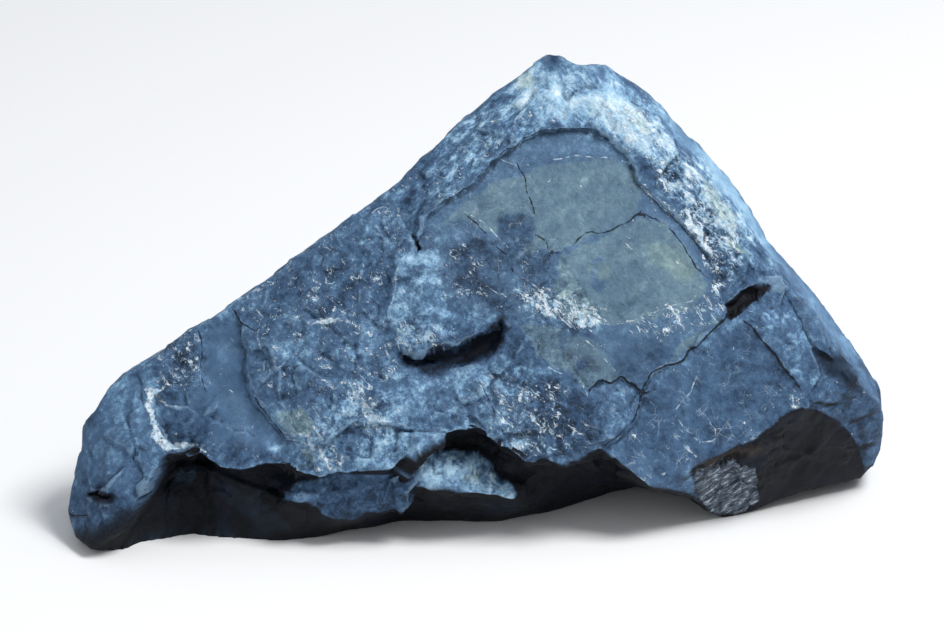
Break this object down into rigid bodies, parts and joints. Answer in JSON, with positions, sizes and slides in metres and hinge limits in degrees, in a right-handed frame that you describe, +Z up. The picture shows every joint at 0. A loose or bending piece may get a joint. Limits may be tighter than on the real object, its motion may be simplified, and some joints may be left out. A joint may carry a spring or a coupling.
{
  "type": "aquascaping rock",
  "caption": "Wedge-shaped natural limestone rock with a smooth leaning face, a sharp peak, a long low tail and a flat underside to stand on in an aquarium layout.",
  "frame": {"origin": "centre of the bounding box, at the flat underside", "axes": "+X along the rock from its low tail to its thick end, +Y towards its back, +Z up"},
  "size_m": [0.2416, 0.102, 0.1295],
  "materials": {
    "stone": "dull blue-grey limestone with olive patches, pale weathered edges and white calcite veins"
  },
  "bodies": {
    "root": {"rock": "stone"}
  },
  "joints": []
}
